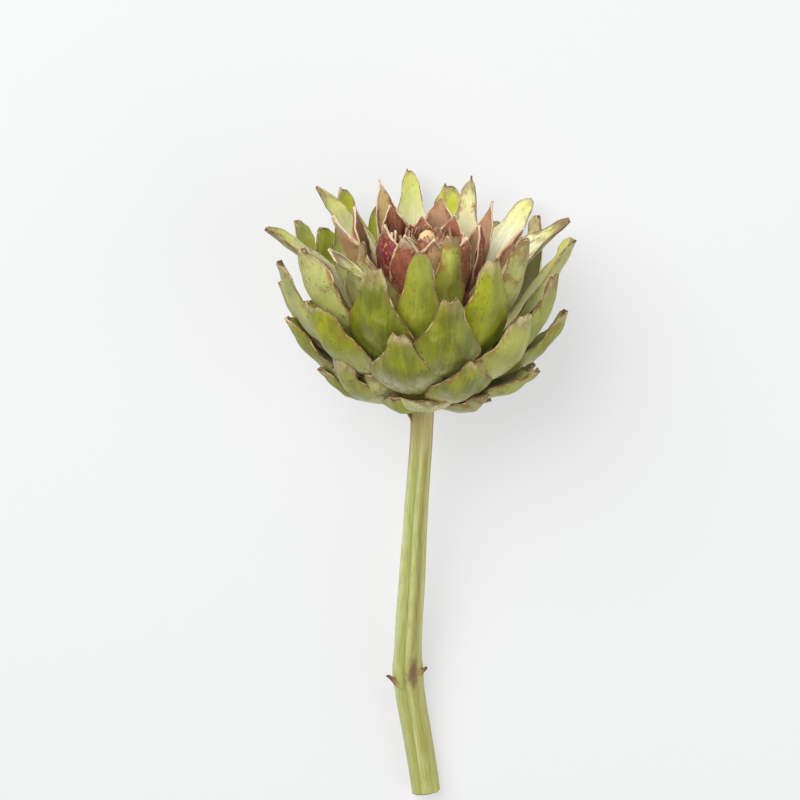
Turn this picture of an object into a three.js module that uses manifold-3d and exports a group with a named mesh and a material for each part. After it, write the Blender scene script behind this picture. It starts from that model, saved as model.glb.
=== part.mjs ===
// A cut globe artichoke, lying on a plain surface: a head of bracts on its ribbed stem.
// Millimetres, +Z up, the surface at z = 0, the crown of the head towards +Y. The origin is on the
// surface, under the middle of the whole artichoke.

import * as THREE from 'three';
import { mergeVertices } from 'three/addons/utils/BufferGeometryUtils.js';
import Module from 'manifold-3d';

const wasm = await Module();
wasm.setup();

// ---- How the artichoke lies ----

const headRise = 12; // degrees that the head's axis rises from the stem towards the crown
const headYaw = 2.2; // degrees that the crown leans towards +X
const headFoot = [0.5, 44.5, 40.5]; // where the stem meets the head
const pressedDepth = 0.5; // how flat the surface presses the lowest bracts

// ---- The spiral of bracts, counted from the lowest one, number 0 ----

const goldenAngle = 137.508; // degrees from one bract to the next
const firstAzimuth = 152.84; // of bract 0; 0 looks up from the surface, 90 is towards +X
const firstInner = 56; // the bracts from here on are thin and purple
const firstCrown = 75; // the bracts from here on are small and brown
const endBract = 94;

// How a bract's form changes up the spiral. root and tip are [radius, height] in the head; leave is
// the angle at which the bract leaves the head, in degrees above level; width is its widest, finger
// the width of its narrow upper part and thickness that of its middle. The inner ones run to a point.
const bractStages = [
  { number: 0, root: [8, 1.5], tip: [36, 7], leave: -8, width: 19, finger: 7.5, thickness: 2.8 },
  { number: 8, root: [14, 4], tip: [44, 16], leave: -2, width: 25, finger: 8.5, thickness: 3.2 },
  { number: 20, root: [22, 9], tip: [52, 34.5], leave: 10, width: 28.5, finger: 9, thickness: 3.6 },
  { number: 33, root: [26, 18], tip: [55, 61], leave: 22, width: 28.5, finger: 9.5, thickness: 3.6 },
  { number: 44, root: [26, 25], tip: [57, 74], leave: 34, width: 24, finger: 9.5, thickness: 3.2 },
  { number: 51, root: [24, 30], tip: [49, 80], leave: 50, width: 19, finger: 8.5, thickness: 2.6 },
  { number: 55, root: [22, 32], tip: [39, 80], leave: 60, width: 16, finger: 7, thickness: 2.2 },
  { number: 56, root: [18, 39], tip: [38, 80], leave: 58, width: 15.5, finger: 3, thickness: 2 },
  { number: 65, root: [15, 44], tip: [21, 74.5], leave: 74, width: 14, finger: 2.6, thickness: 1.7 },
  { number: 74, root: [12, 50], tip: [14.5, 72.5], leave: 82, width: 10, finger: 2.2, thickness: 1.5 },
  { number: 75, root: [11, 60], tip: [13.5, 71], leave: 84, width: 8, finger: 2, thickness: 1.3 },
  { number: 108, root: [4.5, 64], tip: [4, 70], leave: 88, width: 4, finger: 1.4, thickness: 1.1 },
];

// The bracts that stand out of the rule: pushed aside, dried or opened further. turn is in degrees round
// the head's axis, and sway is how far the tip leans sideways.
const strayBracts = {
  1: { tip: [43.5, 17], width: 13 },
  2: { tip: [30, 6] },
  4: { tip: [36.5, 13] },
  7: { width: 20 },
  9: { tip: [46.5, 28], turn: 2, width: 22, finger: 11 },
  10: { tip: [46, 17] },
  12: { tip: [42, 15], width: 29 },
  14: { tip: [54.5, 35.4], turn: 2, leave: 12, width: 20, finger: 13.5 },
  15: { tip: [52, 24.5], turn: 5 },
  17: { tip: [39, 22], width: 14, turn: -2 },
  22: { tip: [42, 20], turn: 4 },
  23: { tip: [57.8, 44.8], leave: 20, width: 25, finger: 12 },
  25: { tip: [53, 46], finger: 10, sway: -2 },
  27: { tip: [58, 46.5] },
  28: { tip: [54, 51], turn: 2.6, width: 31.8, finger: 13 },
  30: { tip: [57, 51.5], turn: -5, sway: -2.5, width: 31, finger: 17 },
  31: { tip: [49, 55] },
  32: { tip: [53, 61], turn: -1, finger: 14, sway: 1.5 },
  33: { tip: [55, 62], width: 29.5, finger: 10.5, sway: -1 },
  35: { tip: [61, 62.2], turn: 4, width: 31, finger: 13 },
  36: { tip: [56.5, 63], width: 24 },
  38: { tip: [51.5, 70.5], turn: -2.5, width: 28.5, finger: 10.5, sway: 0.3 },
  39: { tip: [50, 72.8] },
  40: { tip: [60, 65.3], turn: -10, width: 24, finger: 11.5 },
  41: { tip: [51, 75], turn: -2, width: 26, finger: 10.5 },
  42: { tip: [56, 74], turn: 2, finger: 11 },
  43: { tip: [57, 70.8], turn: 0, width: 27.5, finger: 19, sway: -3 },
  44: { tip: [57.5, 72.5], leave: 45, finger: 13 },
  45: { tip: [53.5, 75], width: 26.5, finger: 9 },
  46: { tip: [45, 76.5], turn: -1.5, width: 20.5, finger: 9.5 },
  47: { tip: [63, 72.5], turn: 1.5, leave: 55 },
  48: { tip: [64, 70.5], leave: 65 },
  49: { tip: [51, 80.5], turn: -4 },
  50: { tip: [50, 81.8], width: 17.5, finger: 7, sway: 0.3 },
  51: { tip: [43, 76.5], turn: -2.5, width: 28, finger: 4 },
  52: { tip: [58.5, 74], turn: -1, leave: 68, width: 27 },
  53: { tip: [50.5, 79.2], leave: 78, width: 21 },
  54: { tip: [35, 80], turn: -4, width: 14.5 },
  55: { tip: [39, 82.5], turn: -2.8, width: 14.8 },
  56: { tip: [42.7, 82.5], turn: 7, width: 20 },
  57: { tip: [39.8, 79.5], turn: -4.5, width: 13 },
  58: { tip: [36, 81], turn: 4.7, width: 13.5 },
  59: { tip: [30, 78.5], turn: -2.5, width: 16.5 },
  60: { turn: 1, leave: 54, width: 16 },
  61: { tip: [29.5, 78], turn: -3, leave: 50, width: 15 },
  62: { turn: -4 },
  63: { tip: [23, 79], turn: -9, width: 18 },
  64: { tip: [22, 77], turn: -4, width: 21 },
  65: { leave: 57 },
  66: { tip: [20.5, 77.5], width: 19 },
  67: { width: 15 },
  68: { width: 15 },
  69: { tip: [14, 71], width: 9 },
  70: { tip: [17, 72] },
  71: { turn: -7.5, width: 13 },
  73: { tip: [14.5, 69.5] },
  74: { tip: [13, 69.3] },
  76: { tip: [12.5, 69.8] },
  77: { tip: [12, 68.8] },
  78: { tip: [12, 69] },
  82: { tip: [10.8, 69] },
  86: { tip: [9.8, 69] },
  90: { tip: [8.8, 69.2] },
};

const bowReach = 0.55; // how far a bract keeps its first direction, as a share of its length
const edgeThickness = 0.7;
const tipThinness = 0.55; // the middle's thickness at the tip, as a share of that at the root
const rootWrap = 1.5; // radius of the hollow across a bract, as a share of its width
const tipWrap = 0.3;

// How finely the bracts are made: columns over the width, and the places of the rows, root to tip.
const greenGrid = { columns: 4, rows: [0, 0.26, 0.48, 0.66, 0.84, 1] };
const purpleGrid = { columns: 3, rows: [0, 0.3, 0.55, 0.8, 1] };
const brownGrid = { columns: 3, rows: [0, 0.6, 1] };

// ---- The body inside the bracts, as [radius, height] up the outline ----

const coreSides = 28;
const receptacleOutline = [[0, 0], [6.5, 0], [13, 2.2], [20, 5.5], [26, 10.5], [29.5, 18], [29.5, 27],
  [27, 34], [21, 36], [0, 36]];
const heartOutline = [[0, 36.6], [17, 36.6], [19, 41], [16.5, 50], [13, 58], [11, 59.4], [0, 59.4]];
const crownOutline = [[0, 60], [11, 60], [10.5, 63], [7.5, 66], [5, 66.6], [0, 66.6]];

const chokeRadius = 3.7;
const chokeBase = 66.9;
const chokeHeight = 4.6;

// ---- The stem, from the head down to its cut end ----

const stemPoints = [[0.9, -0.5], [0.4, -20], [-1.7, -50], [-3.4, -86], [-5, -120], [-4.1, -134],
  [-0.9, -154], [2.1, -174], [2.9, -180]]; // x and y of the stem's middle, from the head's foot
const stemEndHeight = 6;
const stemRadii = [[0, 4.8], [0.1, 4.6], [0.3, 5.2], [0.55, 5.7], [0.64, 5.9], [0.69, 6.6], [0.74, 6.2],
  [1, 6.1]]; // share of the length, radius
const stemRibs = 11;
const ribDepth = 0.045; // share of the radius
const stemSteps = 30;

// Dried leaf bases on the stem: place along it, angle round it from +X over the top, in degrees.
const leafStubs = [
  { along: 0.06, around: 165, length: 7, width: 5, lean: 30 },
  { along: 0.7, around: 25, length: 6, width: 6, lean: 40 },
  { along: 0.72, around: 150, length: 8, width: 7, lean: 38 },
];
const stubDepth = 1.5; // how deep a leaf base is sunk into the stem

const degrees = Math.PI / 180;

// Reads a list of [place, value] pairs at a place, straight between them.
function readStations(stations, place) {
  const last = stations.findIndex(([at]) => at >= place);
  if (last <= 0) {
    return stations.at(last)[1];
  }
  const [low, lowValue] = stations[last - 1];
  const [high, highValue] = stations[last];
  return THREE.MathUtils.mapLinear(place, low, high, lowValue, highValue);
}

// ---- Solids ----

function toSolid(geometry) {
  const bare = geometry.clone();
  bare.deleteAttribute('normal');
  bare.deleteAttribute('uv');
  const merged = mergeVertices(bare, 1e-4);
  return new wasm.Manifold(new wasm.Mesh({
    numProp: 3,
    vertProperties: new Float32Array(merged.attributes.position.array),
    triVerts: new Uint32Array(merged.index.array),
  }));
}

function toGeometry(solid) {
  const { vertProperties, triVerts } = solid.getMesh();
  const geometry = new THREE.BufferGeometry();
  geometry.setAttribute('position', new THREE.BufferAttribute(vertProperties, 3));
  geometry.setIndex(new THREE.BufferAttribute(triVerts, 1));
  geometry.computeVertexNormals();
  return geometry;
}

function joinAll(geometries) {
  return geometries.map(toSolid).reduce((joined, solid) => joined.add(solid));
}

// ---- One bract ----

// A small steady difference between bracts, from -1 to 1.
function whim(number, kind) {
  return Math.sin(number * 12.9898 + kind * 78.233);
}

function bractForm(number) {
  const next = bractStages.findIndex((stage) => stage.number >= number);
  const before = bractStages[Math.max(next - 1, 0)];
  const after = bractStages[next];
  const share = (number - before.number) / Math.max(after.number - before.number, 1);
  const mix = (low, high) => THREE.MathUtils.lerp(low, high, share);
  const between = (key) => mix(before[key], after[key]);
  const betweenPoints = (key) => [0, 1].map((i) => mix(before[key][i], after[key][i]));
  return {
    number,
    root: betweenPoints('root'),
    tip: betweenPoints('tip'),
    leave: between('leave'),
    width: between('width') * (1 + 0.04 * whim(number, 1)),
    finger: between('finger') * (1 + 0.08 * whim(number, 2)),
    thickness: between('thickness'),
    turn: 0,
    sway: 0,
    ...strayBracts[number],
  };
}

// The middle line of a bract in the plane through the head's axis: a quadratic curve.
function bractSpine(form, along) {
  const root = new THREE.Vector2(...form.root);
  const tip = new THREE.Vector2(...form.tip);
  const reach = bowReach * root.distanceTo(tip);
  const leave = form.leave * degrees;
  const bow = root.clone().add(new THREE.Vector2(Math.cos(leave), Math.sin(leave)).multiplyScalar(reach));
  const curve = new THREE.QuadraticBezierCurve(root, bow, tip);
  return { at: curve.getPoint(along), heading: curve.getTangent(along) };
}

function bractWidth(form, along) {
  const finger = form.finger / form.width;
  const outline = form.number < firstInner
    ? [[0, 0.55], [0.22, 0.84], [0.46, 1], [0.6, 0.88], [0.74, Math.max(0.6, finger * 1.25)],
      [0.86, finger * 1.15], [0.95, finger * 0.95], [1, finger * 0.6]]
    : [[0, 0.6], [0.2, 0.85], [0.42, 1], [0.58, 0.94], [0.74, 0.7], [0.86, 0.44], [0.95, 0.24],
      [1, finger * 0.6]];
  return form.width * readStations(outline, along);
}

// A point of a bract in the head's own frame: +Z along the axis, -Y the side that faces up when it
// lies. across runs from -1 to 1 over the width; side is 1 on the outer face and -1 on the inner one.
function bractPoint(form, along, across, side) {
  const { at, heading } = bractSpine(form, along);
  const offset = across * bractWidth(form, along) / 2;
  const wrapRadius = form.width * THREE.MathUtils.lerp(rootWrap, tipWrap, along);
  const cupDepth = offset * offset / (2 * wrapRadius);
  const middle = form.thickness * THREE.MathUtils.lerp(1, tipThinness, along);
  const thickness = THREE.MathUtils.lerp(middle, edgeThickness, across * across);
  const lift = side * thickness / 2 - cupDepth;
  const radius = at.x + heading.y * lift;
  const height = at.y - heading.x * lift;
  const azimuth = (firstAzimuth + form.number * goldenAngle + form.turn) * degrees;
  const aside = offset + form.sway * along ** 3;
  return new THREE.Vector3(
    radius * Math.sin(azimuth) + aside * Math.cos(azimuth),
    -radius * Math.cos(azimuth) + aside * Math.sin(azimuth),
    height,
  );
}

// A bract as one closed blade: an outer and an inner grid of points, split into triangles alike.
function bractGeometry(form, grid) {
  const { columns } = grid;
  const rows = grid.rows.length;
  const points = [];
  for (const side of [1, -1]) {
    for (const along of grid.rows) {
      for (let column = 0; column < columns; column += 1) {
        points.push(bractPoint(form, along, -1 + 2 * column / (columns - 1), side));
      }
    }
  }
  const outer = (row, column) => row * columns + column;
  const inner = (row, column) => rows * columns + row * columns + column;
  const faces = [];
  const addQuad = (a, b, c, d) => faces.push(a, b, c, a, c, d);
  for (let row = 0; row < rows - 1; row += 1) {
    for (let column = 0; column < columns - 1; column += 1) {
      addQuad(outer(row, column), outer(row, column + 1), outer(row + 1, column + 1), outer(row + 1, column));
      faces.push(inner(row, column), inner(row + 1, column + 1), inner(row, column + 1));
      faces.push(inner(row, column), inner(row + 1, column), inner(row + 1, column + 1));
    }
    const right = columns - 1;
    addQuad(outer(row, 0), outer(row + 1, 0), inner(row + 1, 0), inner(row, 0));
    addQuad(outer(row, right), inner(row, right), inner(row + 1, right), outer(row + 1, right));
  }
  for (let column = 0; column < columns - 1; column += 1) {
    const top = rows - 1;
    addQuad(outer(0, column), inner(0, column), inner(0, column + 1), outer(0, column + 1));
    addQuad(outer(top, column), outer(top, column + 1), inner(top, column + 1), inner(top, column));
  }
  const geometry = new THREE.BufferGeometry().setFromPoints(points);
  geometry.setIndex(faces);
  return geometry;
}

// ---- The head ----

function turned(outline) {
  const points = outline.map(([radius, height]) => new THREE.Vector2(radius, height));
  return new THREE.LatheGeometry(points, coreSides).rotateX(Math.PI / 2);
}

// Lays the head down: its axis rises from the stem towards the crown, over the surface.
const lieDown = new THREE.Matrix4()
  .makeTranslation(...headFoot)
  .multiply(new THREE.Matrix4().makeRotationZ(-headYaw * degrees))
  .multiply(new THREE.Matrix4().makeRotationX((headRise - 90) * degrees));

function lowestPoint(form) {
  const heights = greenGrid.rows.map((along) => bractPoint(form, along, 0, 1).applyMatrix4(lieDown).z);
  return Math.min(...heights);
}

// A bract that would reach through the surface is bent up until it only presses on it.
function restedForm(number) {
  const form = bractForm(number);
  const root = new THREE.Vector2(...form.root);
  while (lowestPoint(form) < -pressedDepth) {
    form.tip = new THREE.Vector2(...form.tip).rotateAround(root, 0.5 * degrees).toArray();
    form.leave += 0.5;
  }
  return form;
}

// The body of a part of the head, with the bracts that grow from it.
function bractCluster(outline, first, end, grid) {
  const numbers = Array.from({ length: end - first }, (_, i) => first + i);
  return joinAll([turned(outline), ...numbers.map((number) => bractGeometry(restedForm(number), grid))]);
}

// What would be below the surface is cut away, which leaves small flat spots to rest on.
const underSurface = new THREE.BoxGeometry(600, 600, 40).translate(0, 0, -20);
const underHead = toSolid(underSurface.clone().applyMatrix4(lieDown.clone().invert()));

const outerBracts = bractCluster(receptacleOutline, 0, firstInner, greenGrid).subtract(underHead);
const innerBracts = bractCluster(heartOutline, firstInner, firstCrown, purpleGrid);
const crownBracts = bractCluster(crownOutline, firstCrown, endBract, brownGrid);

// The golden top of the choke: a dome, closed by a flat round foot.
function chokeGeometry() {
  const dome = new THREE.SphereGeometry(1, 14, 10);
  const place = dome.attributes.position;
  for (let i = 0; i < place.count; i += 1) {
    place.setY(i, Math.max(place.getY(i), 0));
  }
  return dome.scale(chokeRadius, chokeHeight, chokeRadius).rotateX(Math.PI / 2).translate(0, 0, chokeBase);
}

// ---- The stem ----

function stemPath() {
  const [footX, footY, footHeight] = headFoot;
  const [, endY] = stemPoints.at(-1);
  return new THREE.CatmullRomCurve3(stemPoints.map(([x, y]) => {
    const straight = footHeight + y * Math.tan(headRise * degrees);
    const height = THREE.MathUtils.lerp(straight, stemEndHeight, (y / endY) ** 3);
    return new THREE.Vector3(footX + x, footY + y, height);
  }));
}

// A cylinder bent along the stem's path, swollen at its node and ribbed lengthwise.
function stemGeometry() {
  const path = stemPath();
  const geometry = new THREE.CylinderGeometry(1, 1, 1, stemRibs * 2, stemSteps);
  const place = geometry.attributes.position;
  const up = new THREE.Vector3(0, 0, 1);
  for (let i = 0; i < place.count; i += 1) {
    const along = THREE.MathUtils.clamp(0.5 - place.getY(i), 0, 1);
    const heading = path.getTangentAt(along);
    const right = new THREE.Vector3().crossVectors(heading, up).normalize();
    const under = new THREE.Vector3().crossVectors(heading, right);
    const around = Math.atan2(place.getZ(i), place.getX(i));
    const ribbed = 1 + ribDepth * Math.cos(stemRibs * around);
    const radius = Math.hypot(place.getX(i), place.getZ(i)) * ribbed * readStations(stemRadii, along);
    const point = path.getPointAt(along)
      .addScaledVector(right, radius * Math.cos(around))
      .addScaledVector(under, radius * Math.sin(around));
    place.setXYZ(i, point.x, point.y, point.z);
  }
  return geometry;
}

// A dried leaf base: a flattened cone that leans off the stem towards the head.
function leafStub({ along, around, length, width, lean }) {
  const path = stemPath();
  const heading = path.getTangentAt(along);
  const right = new THREE.Vector3().crossVectors(heading, new THREE.Vector3(0, 0, 1)).normalize();
  const over = new THREE.Vector3().crossVectors(right, heading);
  const angle = around * degrees;
  const outward = right.multiplyScalar(-Math.cos(angle)).addScaledVector(over, Math.sin(angle));
  const direction = outward.clone().multiplyScalar(Math.sin(lean * degrees))
    .addScaledVector(heading, -Math.cos(lean * degrees));
  const side = new THREE.Vector3().crossVectors(direction, outward).normalize();
  const flat = new THREE.Vector3().crossVectors(side, direction);
  const cone = new THREE.CylinderGeometry(width / 5, width / 2, length, 8, 1);
  cone.translate(0, length / 2, 0).scale(1, 1, 0.45);
  const foot = path.getPointAt(along).addScaledVector(outward, readStations(stemRadii, along) - stubDepth);
  const frame = new THREE.Matrix4().makeBasis(side, direction, flat).setPosition(foot);
  return cone.applyMatrix4(frame);
}

const stem = joinAll([stemGeometry(), ...leafStubs.map(leafStub)]).subtract(toSolid(underSurface));

// ---- The pieces, each with its own finish ----

function piece(name, geometry, color, roughness) {
  const mesh = new THREE.Mesh(geometry, new THREE.MeshStandardMaterial({ color, roughness, metalness: 0 }));
  mesh.name = name;
  return mesh;
}

const head = new THREE.Group();
head.applyMatrix4(lieDown);
head.add(
  piece('outer_bracts', toGeometry(outerBracts), 0x8f9a3c, 0.55),
  piece('inner_bracts', toGeometry(innerBracts), 0x7c3b44, 0.6),
  piece('crown_bracts', toGeometry(crownBracts), 0x9c6a4c, 0.75),
  piece('choke', chokeGeometry(), 0xd9a45c, 0.7),
);

const artichoke = new THREE.Group();
artichoke.add(head, piece('stem', toGeometry(stem), 0xb4b67c, 0.6));

export default artichoke;
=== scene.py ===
import bpy
import math
from mathutils import Matrix, Vector, noise


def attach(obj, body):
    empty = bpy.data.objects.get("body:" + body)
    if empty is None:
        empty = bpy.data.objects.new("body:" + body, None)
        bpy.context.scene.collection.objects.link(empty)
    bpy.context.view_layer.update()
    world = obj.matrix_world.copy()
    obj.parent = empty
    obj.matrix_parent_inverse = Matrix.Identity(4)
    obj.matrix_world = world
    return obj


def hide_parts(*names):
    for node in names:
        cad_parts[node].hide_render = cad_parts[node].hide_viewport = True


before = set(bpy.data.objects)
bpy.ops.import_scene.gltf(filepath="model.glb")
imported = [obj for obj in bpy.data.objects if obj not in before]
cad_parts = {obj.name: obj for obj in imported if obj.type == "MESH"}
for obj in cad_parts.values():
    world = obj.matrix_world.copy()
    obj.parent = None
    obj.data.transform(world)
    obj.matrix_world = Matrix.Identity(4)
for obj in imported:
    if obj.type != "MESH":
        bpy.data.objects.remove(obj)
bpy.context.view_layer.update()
print("frame loaded:", ", ".join(sorted(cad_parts)))

mm = 0.001  # the head's and the stem's own units, in metres


def mix(low, high, share):
    return low + (high - low) * share


def ease(value, low, high):
    share = min(max((value - low) / (high - low), 0), 1)
    return share * share * (3 - 2 * share)


def curveThrough(stations, place):  # a smooth curve through [place, value] pairs
    last = len(stations) - 1
    after = next((i for i, station in enumerate(stations) if station[0] >= place), last)
    after = max(after, 1)
    low, high = stations[after - 1], stations[after]
    before, beyond = stations[max(after - 2, 0)], stations[min(after + 1, last)]
    span = high[0] - low[0]
    share = min(max((place - low[0]) / span, 0), 1)
    lowSlope = (high[1] - before[1]) / (high[0] - before[0]) * span
    highSlope = (beyond[1] - low[1]) / (beyond[0] - low[0]) * span
    square, cube = share ** 2, share ** 3
    return ((2 * cube - 3 * square + 1) * low[1] + (cube - 2 * square + share) * lowSlope
            + (3 * square - 2 * cube) * high[1] + (cube - square) * highSlope)


def whim(number, kind):  # a small steady difference between bracts, from -1 to 1
    return math.sin(number * 12.9898 + kind * 78.233)


def newObject(name, data):
    thing = bpy.data.objects.new(name, data)
    bpy.context.scene.collection.objects.link(thing)
    return thing


def makePiece(name, points, faces, materials, traits, node, materialIndex=None):
    mesh = bpy.data.meshes.new(name)
    mesh.from_pydata(points, [], faces)
    for trait, values in traits.items():
        layer = mesh.attributes.new(trait, "FLOAT_VECTOR", "POINT")
        layer.data.foreach_set("vector", [number for value in values for number in value])
    for material in materials:
        mesh.materials.append(material)
    if materialIndex:
        mesh.polygons.foreach_set("material_index", materialIndex)
    mesh.shade_smooth()
    mesh.validate()
    piece = newObject(name, mesh)
    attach(piece, "root")
    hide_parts(node)


def tubeFaces(rows, sides):  # the faces between rings of points
    faces = []
    for row in range(rows):
        for i in range(sides):
            a, b = row * sides + i, row * sides + (i + 1) % sides
            faces.append((a, b, b + sides, a + sides))
    return faces


def shellFaces(rows, columns):  # two layers of points, joined at their rim
    layer = (rows + 1) * columns
    faces = []
    for row in range(rows):
        for column in range(columns - 1):
            a = row * columns + column
            faces.append((a, a + 1, a + columns + 1, a + columns))
            faces.append((layer + a, layer + a + columns, layer + a + columns + 1, layer + a + 1))
        left, right = row * columns, row * columns + columns - 1
        faces.append((left, left + columns, layer + left + columns, layer + left))
        faces.append((right, layer + right, layer + right + columns, right + columns))
    for column in range(columns - 1):
        a, b = column, rows * columns + column
        faces.append((a, layer + a, layer + a + 1, a + 1))
        faces.append((b, b + 1, layer + b + 1, layer + b))
    return faces


def turnedOver(faces):
    return [(a, d, c, b) for a, b, c, d in faces]


def tint(red, green, blue):  # a colour as picked on screen, made linear
    def linear(value):
        value = value / 255
        return value / 12.92 if value <= 0.04045 else ((value + 0.055) / 1.055) ** 2.4
    return (linear(red), linear(green), linear(blue), 1)


def addNode(tree, kind, inputs, **settings):
    node = tree.nodes.new(kind)
    for name, value in settings.items():
        setattr(node, name, value)
    for key, value in inputs.items():
        if isinstance(value, bpy.types.NodeSocket):
            tree.links.new(value, node.inputs[key])
        else:
            node.inputs[key].default_value = value
    return node


def doMath(tree, operation, first, second=0.0, clamp=False):
    node = addNode(tree, "ShaderNodeMath", {0: first, 1: second}, operation=operation, use_clamp=clamp)
    return node.outputs[0]


def times(tree, first, second, clamp=False):
    return doMath(tree, "MULTIPLY", first, second, clamp)


def plus(tree, first, second, clamp=False):
    return doMath(tree, "ADD", first, second, clamp)


def minus(tree, first, second):
    return doMath(tree, "SUBTRACT", first, second)


def axes(tree, vector):  # its x, y and z
    return addNode(tree, "ShaderNodeSeparateXYZ", {0: vector}).outputs


def blendColor(tree, factor, low, high):
    return addNode(tree, "ShaderNodeMix", {0: factor, 6: low, 7: high}, data_type="RGBA").outputs[2]


def paint(tree, color, layers):  # (how much, colour) pairs, laid one over another
    for amount, over in layers:
        color = blendColor(tree, amount, color, over)
    return color


def fade(tree, value, low, high, start=0.0, end=1.0):  # smooth from start at low to end at high
    node = addNode(tree, "ShaderNodeMapRange", {0: value, 1: low, 2: high, 3: start, 4: end},
                   interpolation_type="SMOOTHSTEP")
    return node.outputs[0]


def grain(tree, vector, scale, detail=2.0, roughness=0.5):
    node = addNode(tree, "ShaderNodeTexNoise",
                   {"Vector": vector, "Scale": scale, "Detail": detail, "Roughness": roughness})
    return node.outputs["Fac"]


def stretched(tree, sheet, across, along, shift=0.0):  # the sheet's millimetres, shrunk by these lengths
    parts = axes(tree, sheet)
    return addNode(tree, "ShaderNodeCombineXYZ", {
        0: doMath(tree, "DIVIDE", parts[0], across),
        1: doMath(tree, "DIVIDE", parts[1], along),
        2: plus(tree, parts[2], shift),
    }).outputs[0]


def newGroup(name, vectors, numbers, outputs):
    tree = bpy.data.node_groups.new(name, "ShaderNodeTree")
    for way, kind, labels in (("INPUT", "Vector", vectors), ("INPUT", "Float", numbers),
                              ("OUTPUT", "Float", outputs)):
        for label in labels:
            tree.interface.new_socket(name=label, in_out=way, socket_type="NodeSocket" + kind)
    return tree, tree.nodes.new("NodeGroupInput").outputs, tree.nodes.new("NodeGroupOutput").inputs


def useGroup(tree, group, inputs):
    return addNode(tree, "ShaderNodeGroup", inputs, node_tree=group).outputs


def addRelief(tree, shader, height, strength, depth):  # depth in metres
    bump = addNode(tree, "ShaderNodeBump", {"Height": height, "Strength": strength, "Distance": depth})
    tree.links.new(bump.outputs[0], shader.inputs["Normal"])


def newMaterial(name):
    material = bpy.data.materials.new(name)
    material.use_nodes = True
    return material, material.node_tree.nodes["Principled BSDF"]


def makeVeins():  # fine lengthwise veins and the broader strands between them
    tree, given, wanted = newGroup("lengthwise veins", ["Sheet"], ["Spacing"], ["Veins", "Strands"])
    spacing = given["Spacing"]
    fine = stretched(tree, given["Sheet"], spacing, times(tree, spacing, 22.0))
    wide = stretched(tree, given["Sheet"], times(tree, spacing, 4.5), times(tree, spacing, 60.0), 5.0)
    tree.links.new(fade(tree, grain(tree, fine, 1.0), 0.32, 0.68), wanted["Veins"])
    tree.links.new(fade(tree, grain(tree, wide, 1.0), 0.3, 0.7), wanted["Strands"])
    return tree


def makeSpecks():  # short dark dashes in loose clusters
    tree, given, wanted = newGroup("dark specks", ["Sheet"], ["Size", "Amount"], ["Specks"])
    dash = stretched(tree, given["Sheet"], given["Size"], times(tree, given["Size"], 2.8), 11.0)
    cluster = grain(tree, stretched(tree, given["Sheet"], 7.0, 10.0, 3.0), 1.0)
    limit = minus(tree, 0.84, times(tree, given["Amount"], fade(tree, cluster, 0.42, 0.64, 0.0, 0.36)))
    over = minus(tree, grain(tree, dash, 1.0, 2.0, 0.6), limit)
    tree.links.new(fade(tree, over, 0.0, 0.07), wanted["Specks"])
    return tree


def makeBloom():  # the whitish film, thick in patches and low down: partly the bracts' waxy bloom, partly painted highlight
    tree, given, wanted = newGroup("whitish bloom", ["Sheet", "Place"], ["Amount"], ["Bloom"])
    patches = grain(tree, stretched(tree, given["Sheet"], 5.0, 9.0, 7.0), 1.0, 4.0, 0.6)
    along = axes(tree, given["Place"])[1]
    level = plus(tree, patches, fade(tree, along, 0.5, 0.26, 0.0, 0.3))
    filmAndHighlight = times(tree, fade(tree, level, 0.54, 0.9), given["Amount"], clamp=True)
    tree.links.new(filmAndHighlight, wanted["Bloom"])
    return tree


def makeDryness():  # the thin dry rim and the withered tip, by the millimetres to the nearest edge
    tree, given, wanted = newGroup("dry rim and tip", ["Sheet", "Place"], ["Rim width", "Dryness"],
                                   ["Rim", "Line", "Tip"])
    place = axes(tree, given["Place"])  # mm to the edge, share along
    ragged = grain(tree, stretched(tree, given["Sheet"], 1.6, 3.0, 2.0), 1.0, 3.0, 0.6)
    stretches = grain(tree, stretched(tree, given["Sheet"], 30.0, 7.0, 4.0), 1.0)
    stretches = fade(tree, stretches, 0.35, 0.65, 0.35, 1.25)
    edge = doMath(tree, "DIVIDE", place[0], times(tree, given["Rim width"], stretches))
    unevenness = minus(tree, ragged, 0.5)
    edge = plus(tree, edge, times(tree, unevenness, 1.2))
    upper = fade(tree, place[1], 0.2, 0.45)
    tree.links.new(times(tree, fade(tree, edge, 1.15, 0.55), upper), wanted["Rim"])
    broken = fade(tree, grain(tree, stretched(tree, given["Sheet"], 6.0, 9.0, 8.0), 1.0), 0.4, 0.6)
    line = times(tree, fade(tree, edge, 3.6, 1.6), broken)
    tree.links.new(times(tree, line, upper), wanted["Line"])
    spread = times(tree, unevenness, 0.16)
    sides = times(tree, fade(tree, place[0], 2.5, 0.0), 0.05)
    reach = plus(tree, plus(tree, place[1], spread), sides)
    limit = minus(tree, 1.03, times(tree, given["Dryness"], 0.3))
    tree.links.new(fade(tree, minus(tree, reach, limit), -0.04, 0.08), wanted["Tip"])
    return tree


veins = makeVeins()
specks = makeSpecks()
bloomAndHighlight = makeBloom()
dryness = makeDryness()


def readTrait(tree, name):
    return addNode(tree, "ShaderNodeAttribute", {}, attribute_name=name).outputs["Vector"]


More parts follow.
